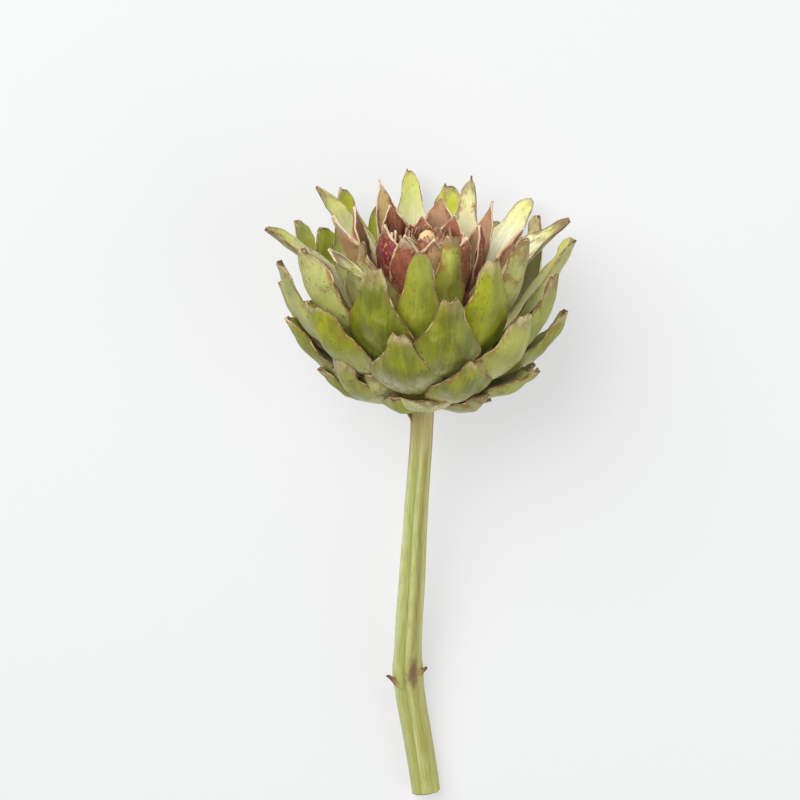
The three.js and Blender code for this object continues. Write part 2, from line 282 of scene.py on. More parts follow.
greenSkin = {
    "deep": tint(96, 104, 14), "fresh": tint(146, 151, 16), "vein": tint(182, 182, 76),
    "bloomAndHighlight": tint(180, 184, 86), "insideRoot": tint(252, 250, 226), "insideTip": tint(196, 202, 84),
    "rim": tint(112, 74, 42), "rimPale": tint(208, 188, 142), "line": tint(134, 88, 44),
    "dryTip": tint(196, 184, 140), "darkTip": tint(134, 110, 66), "burnt": tint(92, 62, 42),
    "speck": tint(80, 64, 14), "scar": tint(122, 88, 42),
    "lime": tint(176, 184, 34), "pale": tint(236, 230, 190), "brown": tint(140, 96, 50),
    "veinSpacing": 0.6, "speckSize": 0.6, "bloomAndHighlightAmount": 0.5, "rimWidth": 0.35,
    "scarring": 0.6, "scarRise": 0.0, "roughness": 0.42,
}
purpleSkin = {
    "deep": tint(122, 34, 60), "fresh": tint(156, 84, 66), "vein": tint(184, 122, 84),
    # insideRoot here is partly the bracts' own dark crimson base and partly painted shade deep between the
    # bracts
    "bloomAndHighlight": tint(204, 166, 132), "insideRoot": tint(84, 26, 26), "insideTip": tint(160, 102, 76),
    "rim": tint(216, 178, 136), "rimPale": tint(246, 230, 202), "line": tint(104, 50, 44),
    "dryTip": tint(214, 194, 160), "darkTip": tint(112, 84, 66), "burnt": tint(236, 218, 184),
    "speck": tint(70, 46, 24), "scar": tint(206, 158, 92),
    "lime": tint(166, 160, 60), "pale": tint(220, 204, 156), "brown": tint(126, 80, 48),
    "veinSpacing": 0.45, "speckSize": 0.6, "bloomAndHighlightAmount": 0.4, "rimWidth": 0.95,
    "scarring": 1.0, "scarRise": 0.2, "roughness": 0.5,
}
brownSkin = {
    "deep": tint(132, 72, 54), "fresh": tint(200, 150, 114), "vein": tint(222, 182, 140),
    # insideRoot here, nearly black, is mostly painted shadow in the hollow round the choke
    "bloomAndHighlight": tint(214, 182, 146), "insideRoot": tint(44, 14, 14), "insideTip": tint(134, 76, 54),
    "rim": tint(158, 110, 84), "rimPale": tint(214, 182, 146), "line": tint(112, 62, 48),
    "dryTip": tint(196, 164, 128), "darkTip": tint(84, 56, 50), "burnt": tint(206, 178, 144),
    "speck": tint(76, 46, 30), "scar": tint(186, 128, 76),
    "lime": tint(164, 150, 74), "pale": tint(220, 200, 158), "brown": tint(116, 74, 48),
    "veinSpacing": 0.35, "speckSize": 0.35, "bloomAndHighlightAmount": 0.4, "rimWidth": 0.24,
    "scarring": 0.5, "scarRise": 0.1, "roughness": 0.65,
}

patterns = {  # mm across and along, and where the noise is read, for what all bract skins share
    "cloud": (6.0, 12.0, 1.0), "streak": (1.5, 22.0, 13.0), "blotch": (3.0, 6.0, 17.0),
    "scar": (0.9, 1.6, 9.0), "scarPatch": (9.0, 12.0, 6.0),
}
strengths = {"specks": 0.75, "veins": 0.07, "lime": 0.85, "pale": 0.8, "brown": 0.8, "tip": 0.8, "rim": 0.9,
             "relief": (0.6, 0.0004), "shine": 0.4}


def bractSkin(name, look):
    material, shader = newMaterial(name)
    tree = material.node_tree
    sheet, place = readTrait(tree, "sheet"), readTrait(tree, "place")
    spot = axes(tree, place)  # mm to the edge, share along, inside
    nature = axes(tree, readTrait(tree, "nature"))  # tone, dryness, paleness low down
    tinge = axes(tree, readTrait(tree, "tinge"))  # lime, pale, brown
    vein = useGroup(tree, veins, {"Sheet": sheet, "Spacing": look["veinSpacing"]})
    speck = useGroup(tree, specks, {"Sheet": sheet, "Size": look["speckSize"], "Amount": strengths["specks"]})
    filmAndHighlight = useGroup(tree, bloomAndHighlight, {"Sheet": sheet, "Place": place, "Amount": look["bloomAndHighlightAmount"]})
    dry = useGroup(tree, dryness, {"Sheet": sheet, "Place": place, "Rim width": look["rimWidth"],
                                   "Dryness": nature[1]})

    def pattern(kind, detail=2.0, roughness=0.5):
        return grain(tree, stretched(tree, sheet, *patterns[kind]), 1.0, detail, roughness)

    def whereInside(outer, inner):  # one value on the outer side, another on the inner
        return fade(tree, spot[2], 0.45, 0.55, outer, inner)

    cloud = pattern("cloud", 3.0)
    streak = pattern("streak", 4.0, 0.6)
    blotch = pattern("blotch", 5.0, 0.65)
    tone = times(tree, nature[0], 0.35)

    ripe = plus(tree, fade(tree, cloud, 0.22, 0.78), tone, clamp=True)
    # paler low down, more on the outer bracts: partly their pale waxy bases, partly painted highlight on
    # their lower bellies
    low = fade(tree, plus(tree, spot[1], times(tree, cloud, 0.3)), 0.8, 0.45)
    waxAndHighlight = times(tree, nature[2], fade(tree, blotch, 0.35, 0.6, 0.35, 1.0))
    outside = paint(tree, look["deep"], [
        (ripe, look["fresh"]),
        (fade(tree, streak, 0.42, 0.85, 0.0, 0.32), look["vein"]),
        (times(tree, vein["Veins"], strengths["veins"]), look["vein"]),
        # whitish patches: the waxy bloom together with painted highlight
        (filmAndHighlight["Bloom"], look["bloomAndHighlight"]),
        (times(tree, low, waxAndHighlight), look["pale"]),
    ])
    # the inner face runs from its root colour to its tip colour; the dark root end is partly painted shade on
    # the purple skin and mostly painted shadow on the brown skin
    inside = paint(tree, look["insideRoot"], [
        (plus(tree, fade(tree, spot[1], 0.5, 0.95), tone, clamp=True), look["insideTip"]),
        (fade(tree, streak, 0.4, 0.7, 0.0, 0.5), look["vein"]),
    ])

    nearEdge = doMath(tree, "MAXIMUM", fade(tree, spot[0], 4.0, 0.5), fade(tree, spot[1], 0.75, 1.0))
    stain = plus(tree, blotch, times(tree, nearEdge, 0.14))
    stain = plus(tree, stain, times(tree, tinge[2], 0.34))
    scarPatch = plus(tree, pattern("scarPatch"), fade(tree, spot[1], 0.45, 0.95, 0.0, look["scarRise"]))
    scarPatch = times(tree, fade(tree, scarPatch, 0.42, 0.62), look["scarring"])
    scars = times(tree, fade(tree, pattern("scar", 4.0, 0.7), 0.54, 0.64), scarPatch)
    withered = paint(tree, look["darkTip"], [
        (fade(tree, blotch, 0.35, 0.65), look["dryTip"]),
        (times(tree, tinge[2], 1.5, clamp=True), look["burnt"]),
    ])
    edging = paint(tree, look["rim"], [
        (fade(tree, blotch, 0.48, 0.62), look["rimPale"]),
        (times(tree, dry["Tip"], fade(tree, blotch, 0.56, 0.44)), look["burnt"]),
    ])
    color = paint(tree, outside, [
        (whereInside(0.0, 1.0), inside),
        (times(tree, tinge[0], strengths["lime"]), look["lime"]),
        (times(tree, tinge[1], strengths["pale"]), look["pale"]),
        (fade(tree, stain, 0.62, 0.82, 0.0, strengths["brown"]), look["brown"]),
        (times(tree, scars, whereInside(1.0, 0.2)), look["scar"]),
        (times(tree, speck["Specks"], whereInside(0.65, 0.2)), look["speck"]),
        (times(tree, dry["Tip"], strengths["tip"]), withered),
        (times(tree, dry["Line"], plus(tree, tinge[2], 0.4), clamp=True), look["line"]),
        (times(tree, dry["Rim"], strengths["rim"]), edging),
    ])
    tree.links.new(color, shader.inputs["Base Color"])

    rough = plus(tree, look["roughness"], times(tree, filmAndHighlight["Bloom"], 0.2))
    tree.links.new(plus(tree, rough, times(tree, dry["Tip"], 0.2)), shader.inputs["Roughness"])
    relief = plus(tree, times(tree, vein["Veins"], 0.16), times(tree, streak, 0.9))
    relief = plus(tree, relief, times(tree, blotch, 1.6))
    relief = minus(tree, relief, times(tree, speck["Specks"], 0.4))
    relief = plus(tree, relief, times(tree, dry["Tip"], vein["Veins"]))
    addRelief(tree, shader, relief, *strengths["relief"])
    shader.inputs["Specular IOR Level"].default_value = strengths["shine"]
    return material


greenBract = bractSkin("green bract", greenSkin)
purpleBract = bractSkin("purple bract", purpleSkin)
brownBract = bractSkin("brown bract", brownSkin)
print("skins mixed")


head = {
    "foot": (0.5, 44.5, 40.5),  # where the stem meets the head
    "rise": 12, "yaw": 2.2,  # degrees
    "goldenAngle": 137.508, "firstAzimuth": 152.84,
    "firstInner": 56, "firstCrown": 75, "endBract": 94,
    "bowReach": 0.55, "rootWrap": 1.5, "tipWrap": 0.3, "tipThinness": 0.55,
    "pressedDepth": 0.5, "bendStep": 0.5,  # mm into the surface, degrees
    "pressedPlaces": (0, 0.26, 0.48, 0.66, 0.84, 1),
    "crownFinger": 0.8,
    "stages": [  # number, root and tip as (radius, height), leaving angle, width, finger, thickness
        (0, (8, 1.5), (36, 7), -8, 19, 7.5, 2.8),
        (8, (14, 4), (44, 16), -2, 25, 8.5, 3.2),
        (20, (22, 9), (52, 34.5), 10, 28.5, 9, 3.6),
        (33, (26, 18), (55, 61), 22, 28.5, 9.5, 3.6),
        (44, (26, 25), (57, 74), 34, 24, 9.5, 3.2),
        (51, (24, 30), (49, 80), 50, 19, 8.5, 2.6),
        (55, (22, 32), (39, 80), 60, 16, 7, 2.2),
        (56, (18, 39), (38, 80), 58, 15.5, 3, 2),
        (65, (15, 44), (21, 74.5), 74, 14, 2.6, 1.7),
        (74, (12, 50), (14.5, 72.5), 82, 10, 2.2, 1.5),
        (75, (11, 60), (13.5, 71), 84, 8, 2, 1.3),
        (108, (4.5, 64), (4, 70), 88, 4, 1.4, 1.1),
    ],
    "strays": {  # by bract number, in place of what the stages give
        "tip": {
            1: (43.5, 17), 2: (30, 6), 4: (36.5, 13), 9: (46.5, 28), 10: (46, 17), 12: (42, 15),
            14: (54.5, 35.4), 15: (52, 24.5), 17: (39, 22), 22: (42, 20), 23: (57.8, 44.8), 25: (53, 46),
            27: (58, 46.5), 28: (54, 51), 30: (57, 51.5), 31: (49, 55), 32: (53, 61), 33: (55, 62),
            35: (61, 62.2), 36: (56.5, 63), 38: (51.5, 70.5), 39: (50, 72.8), 40: (60, 65.3), 41: (51, 75),
            42: (56, 74), 43: (57, 70.8), 44: (57.5, 72.5), 45: (53.5, 75), 46: (45, 76.5), 47: (63, 72.5),
            48: (64, 70.5), 49: (51, 80.5), 50: (50, 81.8), 51: (43, 76.5), 52: (58.5, 74),
            53: (50.5, 79.2), 54: (35, 80), 55: (39, 82.5), 56: (42.7, 82.5), 57: (39.8, 79.5),
            58: (36, 81), 59: (30, 78.5), 61: (29.5, 78), 63: (23, 79), 64: (22, 77), 66: (20.5, 77.5),
            69: (14, 71), 70: (17, 72), 73: (14.5, 69.5), 74: (13, 69.3), 76: (12.5, 69.8), 77: (12, 68.8),
            78: (12, 69), 82: (10.8, 69), 86: (9.8, 69), 90: (8.8, 69.2),
        },
        "turn": {
            9: 2, 14: 2, 15: 5, 17: -2, 22: 4, 28: 2.6, 30: -5, 32: -1, 35: 4, 38: -2.5, 40: -10,
            41: -2, 42: 2, 43: 0, 46: -1.5, 47: 1.5, 49: -4, 51: -2.5, 52: -1, 54: -4, 55: -2.8, 56: 7,
            57: -4.5, 58: 4.7, 59: -2.5, 60: 1, 61: -3, 62: -4, 63: -9, 64: -4, 71: -7.5,
        },
        "leave": {
            14: 12, 23: 20, 44: 45, 47: 55, 48: 65, 52: 68, 53: 78, 60: 54, 61: 50, 65: 57,
        },
        "width": {
            1: 13, 7: 20, 9: 22, 12: 29, 14: 20, 17: 14, 23: 25, 28: 31.8, 30: 31, 33: 29.5, 35: 31,
            36: 24, 38: 28.5, 40: 24, 41: 26, 43: 27.5, 45: 26.5, 46: 20.5, 50: 17.5, 51: 28, 52: 27,
            53: 21, 54: 14.5, 55: 14.8, 56: 20, 57: 13, 58: 13.5, 59: 16.5, 60: 16, 61: 15, 63: 18, 64: 21,
            66: 19, 67: 15, 68: 15, 69: 9, 71: 13,
        },
        "finger": {
            9: 11, 14: 13.5, 23: 12, 25: 10, 28: 13, 30: 17, 32: 14, 33: 10.5, 35: 13, 38: 10.5,
            40: 11.5, 41: 10.5, 42: 11, 43: 19, 44: 13, 45: 9, 46: 9.5, 50: 7, 51: 4,
        },
        "sway": {
            25: -2, 30: -2.5, 32: 1.5, 33: -1, 38: 0.3, 43: -3, 50: 0.3,
        },
    },
}

headToRow = (Matrix.Scale(mm, 4) @ Matrix.Translation(head["foot"])
             @ Matrix.Rotation(math.radians(-head["yaw"]), 4, "Z")
             @ Matrix.Rotation(math.radians(head["rise"] - 90), 4, "X"))


def bractForm(number):
    stages = head["stages"]
    after = next(i for i, stage in enumerate(stages) if stage[0] >= number)
    low, high = stages[max(after - 1, 0)], stages[after]
    share = (number - low[0]) / max(high[0] - low[0], 1)
    form = {
        "number": number,
        "root": [mix(a, b, share) for a, b in zip(low[1], high[1])],
        "tip": [mix(a, b, share) for a, b in zip(low[2], high[2])],
        "leave": mix(low[3], high[3], share),
        "width": mix(low[4], high[4], share) * (1 + 0.04 * whim(number, 1)),
        "finger": mix(low[5], high[5], share) * (1 + 0.08 * whim(number, 2)),
        "thickness": mix(low[6], high[6], share),
        "turn": 0, "sway": 0,
    }
    for trait, table in head["strays"].items():
        form[trait] = table.get(number, form[trait])
    if number >= head["firstCrown"]:
        form["finger"] = min(form["finger"], head["crownFinger"])
    return form


def bractSpine(form, along):  # the middle line, in the plane through the head's axis
    root, tip = Vector(form["root"]), Vector(form["tip"])
    leave = math.radians(form["leave"])
    bow = root + Vector((math.cos(leave), math.sin(leave))) * (tip - root).length * head["bowReach"]
    at = root * (1 - along) ** 2 + bow * 2 * along * (1 - along) + tip * along ** 2
    heading = ((bow - root) * (1 - along) + (tip - bow) * along).normalized()
    return at, heading


def bractWidth(form, along):
    finger = form["finger"] / form["width"]
    if form["number"] < head["firstInner"]:
        outline = [(0, 0.55), (0.22, 0.84), (0.46, 1), (0.6, 0.88), (0.74, max(0.6, finger * 1.25)),
                   (0.86, finger * 1.15), (0.95, finger * 0.95), (1, finger * 0.6)]
    else:
        outline = [(0, 0.6), (0.2, 0.85), (0.42, 1), (0.58, 0.94), (0.74, 0.7), (0.86, 0.44), (0.95, 0.24),
                   (1, finger * 0.6)]
    return form["width"] * curveThrough(outline, along)


def inHead(form, radius, offset, height):
    azimuth = math.radians(head["firstAzimuth"] + form["number"] * head["goldenAngle"] + form["turn"])
    return Vector((radius * math.sin(azimuth) + offset * math.cos(azimuth),
                   -radius * math.cos(azimuth) + offset * math.sin(azimuth), height))


def lowestPoint(form):
    def height(along):
        at, heading = bractSpine(form, along)
        lift = form["thickness"] * mix(1, head["tipThinness"], along) / 2
        return (headToRow @ inHead(form, at.x + heading.y * lift, 0, at.y - heading.x * lift)).z
    return min(height(along) for along in head["pressedPlaces"])


def restedForm(number):  # a bract that would reach through the surface is bent up
    form = bractForm(number)
    root, bend = Vector(form["root"]), math.radians(head["bendStep"])
    while lowestPoint(form) < -head["pressedDepth"] * mm:
        arm = Vector(form["tip"]) - root
        form["tip"] = (root.x + arm.x * math.cos(bend) - arm.y * math.sin(bend),
                       root.y + arm.x * math.sin(bend) + arm.y * math.cos(bend))
        form["leave"] += head["bendStep"]
    return form


bract = {
    "grids": {"outerBract": (34, 17), "innerBract": (24, 13), "crownBract": (14, 9), "crownScale": (10, 7)},
    "tipCrowding": 1.25, "bowLength": 1.1,  # rows closer towards the tip; the bow against a straight line
    "edgeThickness": 0.45, "keel": 0.35, "keelHalf": 0.2, "belly": 0.9, "dent": 0.9, "dentSize": 9.0,
    "fold": 0.3, "foldSize": 3.5, "spineHalf": 0.25, "notchSpread": 1.2,
    "notch": 1.5, "notchHalf": 0.75,  # mm deep, and where its two points stand across the tip
    "notched": (7, 9, 12, 18, 20, 25, 28, 30, 33, 36, 38, 41, 54),
    "spines": {  # dry points: where across the tip, and mm long
        14: (-0.3, 1.6), 30: (-0.6, 1.2), 35: (0.2, 1.6), 42: (0.7, 2), 43: (0.2, 1.6), 45: (0.6, 2),
        47: (0, 0.8), 50: (0.6, 2.2), 53: (0, 2.2), 55: (0, 2.6), 56: (0.4, 2.6), 58: (0.3, 3.4),
        60: (0, 2.4), 61: (-0.4, 1.6), 63: (0, 0.8), 64: (0, 0.8), 52: (0.5, 1.2), 48: (0.3, 1.6),
    },
    "roundness": 1.6, "curl": 0.8, "sway": 0.4, "edgeWave": 0.45, "raggedTip": 0.35, "aboveSurface": 0.12,
    "toneSpread": 0.6, "drySpread": 0.08,
    "dryness": (0.36, 0.24), "dryBetween": (10, 24),  # low down and high up, between which bracts
    "paleness": (0.6, 0), "paleBetween": (24, 40),
}


def tipRetreat(form, across):  # how far the end stands back from the tip, in mm
    number, small = form["number"], min(form["width"] / 14, 1)
    ragged = bract["raggedTip"] * small * noise.noise(Vector((across * 6, number * 5.3, 2)))
    if number in bract["spines"]:
        where, reach = bract["spines"][number]
        ragged -= reach * max(1 - abs(across - where) / bract["spineHalf"], 0) ** 1.5
    if number in bract["notched"]:
        peak = bract["notchHalf"] * (1 + 0.15 * whim(number, 4))
        inward = min(abs(across) / peak, 1)
        outward = max(abs(across) - peak, 0) / (1 - peak) if peak < 1 else 0
        notch = bract["notch"] * (1 + 0.3 * whim(number, 9)) * (1 - inward)
        return notch + outward ** 2 * bract["notchSpread"] + ragged
    return bract["roundness"] * small * abs(across) ** 2.5 + ragged


def bractPoint(form, along, across, side, length):
    number, small = form["number"], min(form["width"] / 14, 1)
    seed = number * 3.7
    reached = along - tipRetreat(form, across) / length * ease(along, 0.75, 1)
    at, heading = bractSpine(form, reached)
    half = bractWidth(form, along) / 2
    wave = noise.noise(Vector((along * 9, seed + across, 1.5))) * bract["edgeWave"] * across ** 2
    offset = across * half + wave
    wrap = form["width"] * mix(head["rootWrap"], head["tipWrap"], along)
    cup = offset * offset / (2 * wrap)
    middle = form["thickness"] * mix(1, head["tipThinness"], along)
    thickness = mix(middle, bract["edgeThickness"], across * across)
    where = Vector((offset, along * length, seed)) / bract["dentSize"]
    dent = (noise.noise(where) + 0.4 * noise.noise(where * 2.3)) * bract["dent"]
    dent += noise.noise(Vector((offset / bract["foldSize"], along * 1.6, seed))) * bract["fold"]
    curl = whim(number, 5) * bract["curl"] * ease(along, 0.78, 1.1)
    keel = belly = 0
    if side > 0:
        keel = bract["keel"] * math.exp(-(across / bract["keelHalf"]) ** 2) * ease(along, 0.2, 0.6)
        belly = bract["belly"] * math.cos(across * math.pi / 2) * math.sin(along ** 1.5 * math.pi)
    lift = side * thickness / 2 - cup + (keel + belly + dent * ease(along, 0.1, 0.4) + curl) * small
    sway = (form["sway"] + whim(number, 6) * bract["sway"] * small) * along ** 3
    return inHead(form, at.x + heading.y * lift, offset + sway, at.y - heading.x * lift)


scales = {  # the thin pointed scales round the choke
    "first": 94, "end": 124, "rootRadius": (6.1, 8.6), "rootHeight": 60.5, "tipRadius": (5.8, 9.8),
    "tipHeight": (68.6, 71.6), "leave": 84, "leaveSpread": 8, "turnSpread": 9, "sway": 0.8,
    "width": 4.8, "widthSpread": 0.2, "finger": 0.6, "thickness": 0.5, "tone": 0.8,
}

looks = {  # number: lime, pale and brown shares, then how much fresher and drier than the rest
    # some rows stand in for light: the lime on 32, 40, 42 and 45 is partly painted light shining through
    # them, and the raised paleness of 39 and 40 is painted light on faces that lie in shade
    4: (0.5, 0, 0, -0.8, 0), 7: (0, 0.3, 0.2, 0, 0.1), 9: (0, 0.1, 0.1, 0, 0.1), 10: (0, 0.1, 0.3, 0, 0.4),
    12: (0, 0.5, 0.1, 0.5, 0), 15: (0, 0.1, 0.15, 0, 0.1), 17: (0.1, 0.35, 0.3, 0.2, 0.3),
    20: (0, 0.05, 0.1, -0.1, 0), 25: (0, 0, 0, -1, 0), 28: (0, 0.14, 0, 0.3, 0.2), 30: (0, 0, 0.12, 0.1, 0),
    32: (1, 0.15, -0.2, 0.5, -0.1), 33: (0, 0, 0, -0.6, 0.05), 35: (0, 0.25, 0, 0.5, 0),
    36: (0.2, 0.1, 0.05, 0.3, 0.2), 37: (0.9, 0, 0, 0, 0), 38: (0, 0, 0, -0.8, 0.1),
    39: (0.2, 0.5, 0, 0.8, 0.1), 40: (1, 0.3, -0.2, 0.8, -0.1), 41: (0, 0, 0, 0.5, 0.05),
    42: (0.55, 0, 0.1, 0, 0), 43: (0, 0.3, 0.08, 0.6, 0), 44: (0.15, 0.25, 0, 0.8, 0),
    45: (0.7, 0, 0, 0.4, 0), 46: (0.05, 0.05, 0, 0.2, -0.1), 47: (0, 0.3, 0, -0.3, 0),
    48: (0.35, 0.1, 0.15, 0.4, 0.15), 49: (0.1, 0.25, 0.4, 0.4, 0.1), 50: (0.45, 0.2, -0.35, 0.5, -0.05),
    51: (0, 0.3, 0.35, 0, 0.1), 52: (0.35, 0, 0.45, -0.3, 0.25), 53: (0.4, 0.25, -0.15, 0.5, 0.2),
    54: (0.3, 0.1, 0.3, 0.4, 0), 55: (0, 0.75, 0.1, 0.3, 0.1), 56: (0.25, 0.3, 0.15, 0, 0.35),
    57: (0, 0.3, 0.2, 0, 0), 58: (0.55, 0.35, 0.25, 0, 0), 59: (0, 0.05, 0.45, 0.4, 0.35),
    60: (0, 0.3, 0, 0, 0), 61: (0.1, 0.2, 0.2, 0, 0.1), 62: (0, 0.15, 0.3, 0.4, 0.1),
    63: (0, 0.3, 0.1, 0.3, 0), 64: (0, 0, 0.2, -0.7, 0.2), 67: (0.3, 0.4, 0.2, 0, 0),
}


def bractPiece(form, name, skin, node):
    number, (rows, columns) = form["number"], bract["grids"][name]
    length = (Vector(form["tip"]) - Vector(form["root"])).length * bract["bowLength"]
    alongs = [1 - (1 - i / rows) ** bract["tipCrowding"] for i in range(rows + 1)]
    acrosses = [math.sin((i / (columns - 1) - 0.5) * math.pi) for i in range(columns)]
    points, sheet, place = [], [], []
    for side in (1, -1):
        for along in alongs:
            half = bractWidth(form, along) / 2
            for across in acrosses:
                point = headToRow @ bractPoint(form, along, across, side, length)
                point.z = max(point.z, bract["aboveSurface"] * mm)
                points.append(point)
                sheet.append((across * half, along * length, number * 3.1 + side))
                toEnd = (1 - along) * length + 0.3 * tipRetreat(form, across)
                toEdge = min(half * (1 - abs(across)), toEnd)
                place.append((toEdge, along, (1 - side) / 2))
    plainTone = scales["tone"] if number >= scales["first"] else 0
    *tinge, tone, dry = looks.get(number, (0, 0, 0, plainTone, 0))
    dry += mix(*bract["dryness"], ease(number, *bract["dryBetween"])) + bract["drySpread"] * whim(number, 8)
    pale = mix(*bract["paleness"], ease(number, *bract["paleBetween"]))
    nature = (tone + bract["toneSpread"] * whim(number, 3), dry, pale)
    traits = {"sheet": sheet, "place": place,
              "nature": [nature] * len(points), "tinge": [tinge] * len(points)}
    makePiece(f"{name}{number:02d}", points, shellFaces(rows, columns), [skin], traits, node)


for number in range(head["firstInner"]):
    bractPiece(restedForm(number), "outerBract", greenBract, "outer_bracts")
print("outer bracts placed")
for number in range(head["firstInner"], head["firstCrown"]):
    bractPiece(restedForm(number), "innerBract", purpleBract, "inner_bracts")
for number in range(head["firstCrown"], head["endBract"]):
    bractPiece(restedForm(number), "crownBract", brownBract, "crown_bracts")
print("inner and crown bracts placed")


def scaleForm(number):
    outward, upward = (1 + whim(number, 11)) / 2, (1 + whim(number, 12)) / 2
    return {
        "number": number, "finger": scales["finger"], "thickness": scales["thickness"],
        "root": [mix(*scales["rootRadius"], outward), scales["rootHeight"]],
        "tip": [mix(*scales["tipRadius"], outward), mix(*scales["tipHeight"], upward)],
        "leave": scales["leave"] + scales["leaveSpread"] * whim(number, 13),
        "width": scales["width"] * (1 + scales["widthSpread"] * whim(number, 14)),
        "turn": scales["turnSpread"] * whim(number, 15), "sway": scales["sway"] * whim(number, 16),
    }


for number in range(scales["first"], scales["end"]):
    bractPiece(scaleForm(number), "crownScale", brownBract, "crown_bracts")
print("crown scales placed")


tornStrip = {  # a dried strip torn off a bract, in the head's own frame
    "root": (-22, -35.4, 61.6), "tip": (-37.4, -31.2, 73.2), "bow": 1.6, "thickness": 0.35,
    "widths": [(0, 0.6), (0.12, 2.2), (0.4, 4.4), (0.62, 5), (0.8, 3.6), (0.92, 1.6), (1, 0.5)],
    "rows": 22, "columns": 7, "curl": 1.3, "wave": 0.6,
    "nature": (0.4, 0.85, 0), "tinge": (0.3, 0.45, 0.15),
}

tornSkin = bractSkin("torn strip", dict(greenSkin, dryTip=tint(112, 92, 74), darkTip=tint(58, 44, 38),
                                        rim=tint(226, 212, 174), burnt=tint(222, 208, 172), rimWidth=0.5))


def stripPiece():
    root, tip = Vector(tornStrip["root"]), Vector(tornStrip["tip"])
    run = tip - root
    outward = Vector((root.x, root.y, 0)).normalized()
    sideways = run.cross(outward).normalized()
    facing = sideways.cross(run).normalized()
    rows, columns = tornStrip["rows"], tornStrip["columns"]
    points, sheet, place = [], [], []
    for side in (1, -1):
        for row in range(rows + 1):
            along = row / rows
            half = curveThrough(tornStrip["widths"], along) / 2
            for column in range(columns):
                across = column / (columns - 1) * 2 - 1
                bow = tornStrip["bow"] * math.sin(along * math.pi) + tornStrip["curl"] * along ** 4
                curl = tornStrip["curl"] * across * across * ease(along, 0.3, 0.9)
                curl += noise.noise(Vector((across * 1.5, along * 5, 3))) * tornStrip["wave"]
                at = root + run * along + sideways * across * half
                point = at + facing * (bow + curl + side * tornStrip["thickness"] / 2)
                points.append(headToRow @ point)
                sheet.append((across * half, along * run.length, 7 + side))
                place.append((half * (1 - abs(across)), mix(0.5, 1, along), 0))
    traits = {"sheet": sheet, "place": place, "nature": [tornStrip["nature"]] * len(points),
              "tinge": [tornStrip["tinge"]] * len(points)}
    faces = turnedOver(shellFaces(rows, columns))
    makePiece("tornStrip", points, faces, [tornSkin], traits, "outer_bracts")


stripPiece()
print("torn strip placed")


cores = {  # the fleshy middle that the bracts stand on, as radius and height
    "sides": 64, "place": (9, 0.3, 0), "nature": (-0.8, 0, 0), "tinge": (0, 0, 0.6),
    "receptacle": [(0, 0), (6.5, 0), (13, 2.2), (20, 5.5), (26, 10.5), (29.5, 18), (29.5, 27), (27, 34),
                   (21, 36), (0, 36)],
    "heart": [(0, 36.6), (17, 36.6), (19, 41), (16.5, 50), (13, 58), (11, 59.4), (0, 59.4)],
    "crownBase": [(0, 60), (11, 60), (10.5, 63), (7.5, 66), (5, 66.6), (0, 66.6)],
}


def turnedPiece(name, outline, material, node):
    sides = cores["sides"]
    points, sheet, place = [], [], []
    for row, (radius, height) in enumerate(outline):
        for i in range(sides):
            angle = i / sides * 2 * math.pi
            points.append(headToRow @ Vector((radius * math.sin(angle), -radius * math.cos(angle), height)))
            sheet.append((angle * radius, height, row))
            place.append(cores["place"])
    traits = {"sheet": sheet, "place": place, "nature": [cores["nature"]] * len(points),
              "tinge": [cores["tinge"]] * len(points)}
    makePiece(name, points, tubeFaces(len(outline) - 1, sides), [material], traits, node)


turnedPiece("receptacle", cores["receptacle"], greenBract, "outer_bracts")
turnedPiece("heart", cores["heart"], purpleBract, "inner_bracts")
turnedPiece("crownBase", cores["crownBase"], brownBract, "crown_bracts")


choke = {"radius": 3.7, "base": 66.9, "height": 4.6, "sides": 72, "rows": 26,
         "fullness": 0.98, "unevenness": 0.05, "color": tint(232, 204, 150), "shade": tint(196, 150, 92),
         "bristles": 3.4, "relief": (0.5, 0.0002), "roughness": 0.75}


def chokeSkin():
    material, shader = newMaterial("choke bristles")
    tree = material.node_tree
    sheet = readTrait(tree, "sheet")
    ends = grain(tree, sheet, choke["bristles"], 3.0)
    tree.links.new(blendColor(tree, fade(tree, ends, 0.25, 0.6), choke["shade"], choke["color"]),
                   shader.inputs["Base Color"])
    addRelief(tree, shader, ends, *choke["relief"])
    shader.inputs["Roughness"].default_value = choke["roughness"]
    return material


def chokePiece():
    sides, rows = choke["sides"], choke["rows"]
    points, sheet = [], []
    for row in range(rows + 1):
        rise = row / rows * math.pi / 2
        for i in range(sides):
            angle = i / sides * 2 * math.pi
            direction = Vector((math.cos(rise) * math.cos(angle), math.cos(rise) * math.sin(angle),
                                math.sin(rise)))
            tuft = choke["fullness"] + choke["unevenness"] * noise.noise(direction * 7)
            point = Vector((direction.x * choke["radius"], direction.y * choke["radius"],
                            direction.z * choke["height"])) * tuft
            points.append(headToRow @ (point + Vector((0, 0, choke["base"]))))
            sheet.append(point)
    faces = tubeFaces(rows, sides) + [tuple(reversed(range(sides)))]
    makePiece("choke", points, faces, [chokeSkin()], {"sheet": sheet}, "choke")


chokePiece()
print("choke placed")


